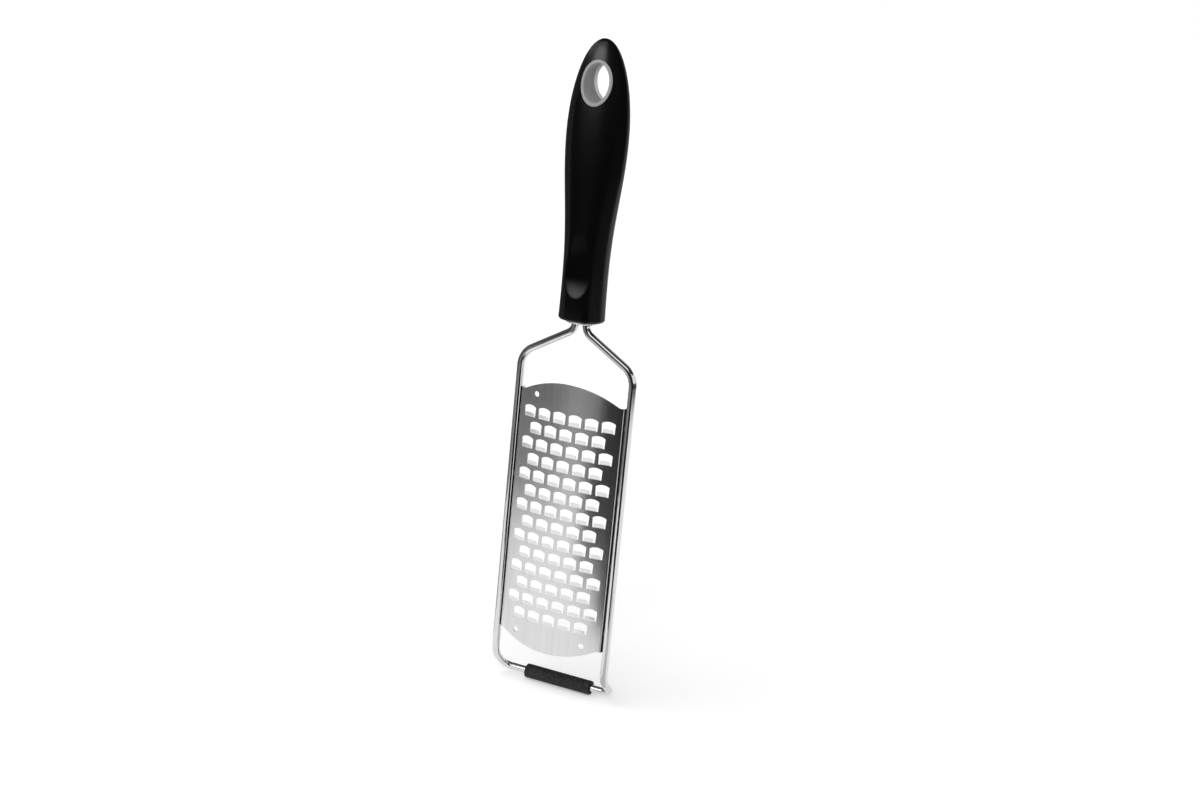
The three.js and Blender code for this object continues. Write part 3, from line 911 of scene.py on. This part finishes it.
# %% Make the weld beads
bead_half_sizes = (0.28, 0.6, 1.6)
millimetres = 1000
for word in ("left", "right"):
    for number in range(1, 5):
        node = f"weld_{word}_{number}"
        low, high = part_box(node)
        middle = (low + high) / 2 * millimetres
        bead = bmesh.new()
        bmesh.ops.create_uvsphere(bead, u_segments=16, v_segments=10, radius=1)
        bmesh.ops.scale(bead, vec=bead_half_sizes, verts=bead.verts)
        bmesh.ops.translate(bead, vec=middle, verts=bead.verts)
        keep_piece(bead, f"weld_bead_{word}_{number}", weld_finish, "weld_metal", node)

# %% [markdown]
# ## The studio
#
# A white floor, a white surround and two broad soft lamps. The floor glows a little where it is
# looked at, so that it reads as white while it keeps the soft shadow at the foot. Metal looks
# like metal only when it has light and dark to mirror, so dark, grey and light cards stand round
# the tool, as in any studio. They are seen in reflections only.

# %% White floor
def seen_directly(nodes):
    """1 for rays that look straight at a thing, by reflection or through glass, and 0 otherwise."""
    kinds = ("Is Camera Ray", "Is Glossy Ray", "Is Transmission Ray")
    camera_ray, glossy_ray, through_ray = (
        nodes.add("ShaderNodeLightPath", output=kind) for kind in kinds
    )
    return camera_ray.at_least(glossy_ray).at_least(through_ray)


floor_finish = bpy.data.materials.new("white_floor")
floor_finish.use_nodes = True
floor_finish.node_tree.nodes.clear()
nodes = Nodes(floor_finish.node_tree)
paint = nodes.add("ShaderNodeBsdfDiffuse", None, {"Color": (0.88, 0.88, 0.88, 1)})
glow_strength = seen_directly(nodes) * 0.28
glow = nodes.add("ShaderNodeEmission", None, {"Color": (1, 1, 1, 1), "Strength": glow_strength})
both = nodes.add("ShaderNodeAddShader", None, {0: paint, 1: glow})
nodes.add("ShaderNodeOutputMaterial", None, {"Surface": both})

floor_mesh = bmesh.new()
just_below = Matrix.Translation((0, 0, -0.0003))
bmesh.ops.create_circle(floor_mesh, cap_ends=True, segments=64, radius=6, matrix=just_below)
floor = bpy.data.objects.new("floor", bpy.data.meshes.new("floor"))
floor_mesh.to_mesh(floor.data)
floor_mesh.free()
floor.data.materials.append(floor_finish)
scene.collection.objects.link(floor)
print("floor", [round(size, 1) for size in floor.dimensions], "m")

# %% White surround
world = bpy.data.worlds.new("white_surround")
scene.world = world
world.use_nodes = True
world.node_tree.nodes.clear()
nodes = Nodes(world.node_tree)
strength = 0.55 + seen_directly(nodes) * 0.45
sky = nodes.add("ShaderNodeBackground", None, {"Color": (1, 1, 1, 1), "Strength": strength})
nodes.add("ShaderNodeOutputWorld", None, {"Surface": sky})
print("surround ready")

# %% Two soft lamps
def way(azimuth, elevation=0):
    """The direction at an azimuth and an elevation in degrees. Azimuth turns from front to right."""
    azimuth, elevation = math.radians(azimuth), math.radians(elevation)
    level = math.cos(elevation)
    return Vector((math.sin(azimuth) * level, -math.cos(azimuth) * level, math.sin(elevation)))


lamps = (
    # name, energy, spread, azimuth and elevation
    ("front_lamp", 0.9, 35, 20, 25),
    ("side_lamp", 0.72, 40, -40, 58),
)
for name, energy, spread, azimuth, elevation in lamps:
    lamp = bpy.data.objects.new(name, bpy.data.lights.new(name, "SUN"))
    lamp.data.energy = energy
    lamp.data.angle = math.radians(spread)
    lamp.rotation_euler = (-way(azimuth, elevation)).to_track_quat("-Z", "Y").to_euler()
    lamp.visible_glossy = False
    scene.collection.objects.link(lamp)
    print(name, "shines from azimuth", azimuth, "and elevation", elevation)

# %% Cards for the reflections
def add_card(name, level, bm):
    """A card of an even grey from a bmesh in metres. Only reflections show it."""
    finish = bpy.data.materials.new(name)
    finish.use_nodes = True
    finish.node_tree.nodes.clear()
    nodes = Nodes(finish.node_tree)
    grey = nodes.add("ShaderNodeEmission", None, {"Color": (level, level, level, 1), "Strength": 1})
    nodes.add("ShaderNodeOutputMaterial", None, {"Surface": grey})
    card = bpy.data.objects.new(name, bpy.data.meshes.new(name))
    bm.to_mesh(card.data)
    bm.free()
    card.data.materials.append(finish)
    scene.collection.objects.link(card)
    card.visible_camera = card.visible_diffuse = False
    card.visible_shadow = card.visible_transmission = False


def bent_card(name, level, start, stop, first, last):
    """A card bent round the tool between two azimuths. Each rim is a radius and a height."""
    bm = bmesh.new()
    places = [radius * way(start) + Vector((0, 0, height)) for radius, height in (first, last)]
    edge = bm.edges.new([bm.verts.new(place) for place in places])
    turned = math.radians(stop - start)
    sweep = [*edge.verts, edge]
    bmesh.ops.spin(bm, geom=sweep, cent=(0, 0, 0), axis=(0, 0, 1), angle=turned, steps=12)
    add_card(name, level, bm)


cards = (
    # name, level, first and last azimuth, first and last rim
    # close in front, for the blade
    ("near_card", 0.03, 8, 42, (0.12, 0), (0.12, 0.08)),
    ("dark_card", 0.02, -11, 45, (0.2, 0), (0.2, 0.07)),
    ("dark_mid_card", 0.02, -5, 45, (0.2, 0.07), (0.2, 0.15)),
    ("dark_high_card", 0.02, 0, 45, (0.2, 0.15), (0.2, 0.26)),
    ("streak_card", 0.35, -30, -5, (0.36, 0), (0.36, 0.08)),
    ("grey_card", 0.22, -75, -30, (0.32, 0), (0.32, 0.08)),
    # left, for the rail and the shoulders
    ("left_low_card", 0.22, -150, -75, (0.32, 0), (0.32, 0.09)),
    ("left_high_card", 0.12, -150, -75, (0.32, 0.09), (0.32, 0.5)),
    ("left_floor_card", 0.35, -150, -85, (0.08, 0.001), (0.32, 0.001)),
    ("left_near_floor_card", 0.6, -85, -60, (0.12, 0.001), (0.3, 0.001)),
    # on the floor, for the legs
    ("leg_card", 0.62, 21, 77, (0.02, 0.001), (0.2, 0.001)),
    # far to the left, for the blade and the handle
    ("floor_card", 0.02, -75, 2, (0.37, 0.001), (1.2, 0.001)),
    ("far_card", 0.02, -75, 0, (1.2, 0), (1.2, 0.4)),
    ("shade_card", 0.12, -80, -43, (1.2, 0.4), (1.2, 1.0)),
    # round the handle, for its nose and its scoop
    ("nose_light_card", 1.0, -95, -43, (0.3, 0.375), (0.3, 0.52)),
    ("chin_low_card", 0.2, -60, 10, (0.06, 0.136), (0.06, 0.166)),
    ("chin_high_card", 0.02, -60, 10, (0.06, 0.166), (0.06, 0.187)),
    ("nose_dark_card", 0.04, -14, 90, (0.15, 0.327), (0.15, 0.567)),
    # far in front, for the handle and the shoulders
    ("light_card", 2.2, -43, -14, (1.2, 0.4), (1.2, 0.6)),
    ("high_light_card", 3.6, -43, -14, (1.2, 0.6), (1.2, 1.0)),
    ("high_streak_card", 1.5, -5, 40, (1.2, 0.75), (1.2, 1.4)),
    ("front_card", 0.04, -14, 45, (1.2, 0), (1.2, 0.75)),
    # right and behind, for the right edges
    ("right_low_card", 0.04, 40, 134, (0.7, 0), (0.7, 0.2)),
    ("right_high_card", 0.04, 40, 134, (0.1, 0.2), (0.1, 0.36)),
    ("right_floor_card", 0.02, 40, 134, (0.25, 0.1), (0.7, 0)),
    ("rim_low_card", 0.4, 134, 180, (0.7, 0), (0.7, 0.2)),
    ("rim_high_card", 0.4, 134, 180, (0.1, 0.2), (0.1, 0.36)),
)
for card in cards:
    bent_card(*card)
ceiling = bmesh.new()
overhead = Matrix.Translation((0, 0.6, 1))
bmesh.ops.create_grid(ceiling, x_segments=1, y_segments=1, size=1, matrix=overhead)
add_card("top_card", 0.05, ceiling)
print(len(cards) + 1, "cards stand round the tool")

# %% [markdown]
# ## The last look
#
# Colours are shown as they are written.

# %% Finish
scene.view_settings.view_transform = "Standard"
